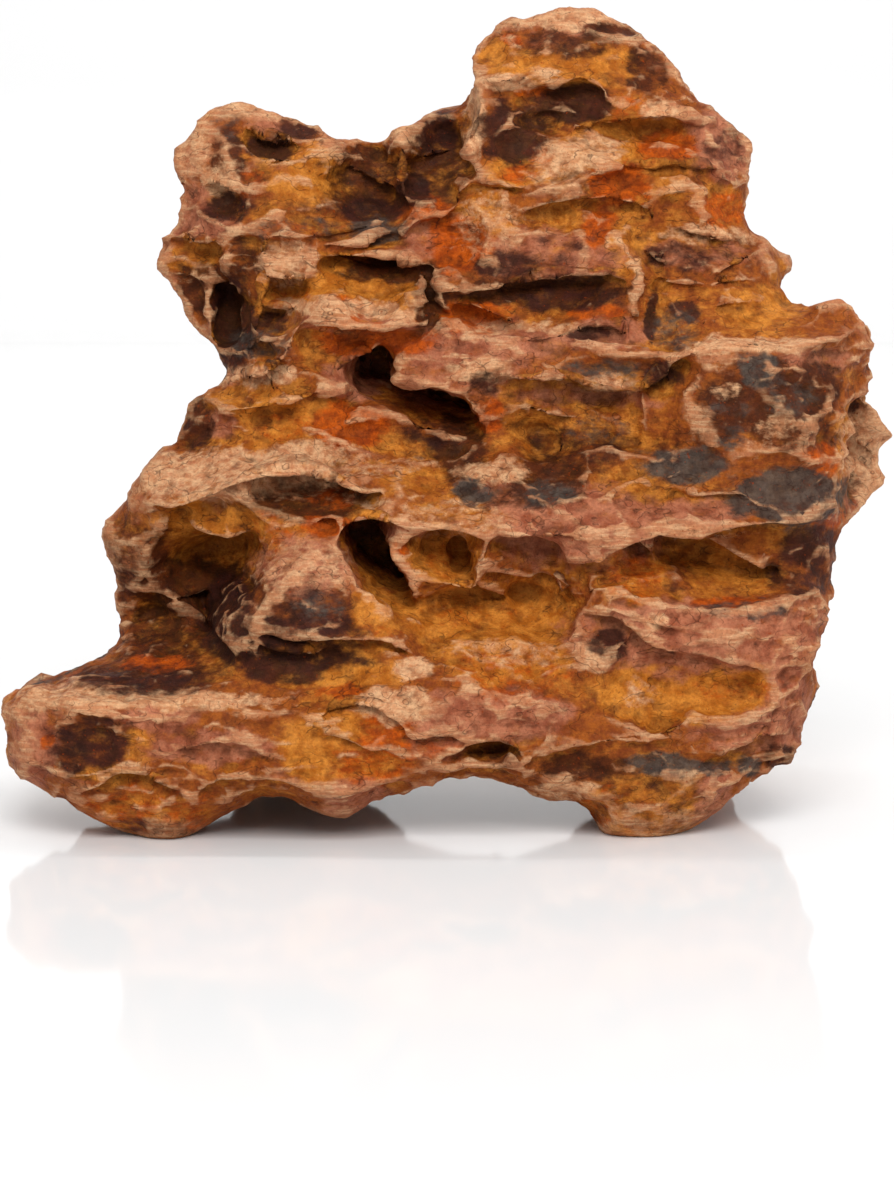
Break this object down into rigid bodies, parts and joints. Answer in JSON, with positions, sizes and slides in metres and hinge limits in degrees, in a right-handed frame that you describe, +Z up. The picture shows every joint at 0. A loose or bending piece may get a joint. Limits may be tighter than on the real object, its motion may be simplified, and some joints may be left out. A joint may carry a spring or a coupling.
{
  "type": "bamboo rock",
  "caption": "Free-standing ornamental rock of layered, iron-stained stone with ledges, deep hollows and pockets, raised on low feet with a shallow arch between them.",
  "frame": {"origin": "centre of the bounding box's base, on the surface that the feet stand on", "axes": "+Z up, the face in the picture looks along -Y, +X to the picture's right"},
  "size_m": [0.2288, 0.1289, 0.2041],
  "materials": {
    "bamboo_rock": "matt, iron-stained"
  },
  "bodies": {
    "root": {"bamboo_rock": "bamboo_rock"}
  },
  "joints": []
}
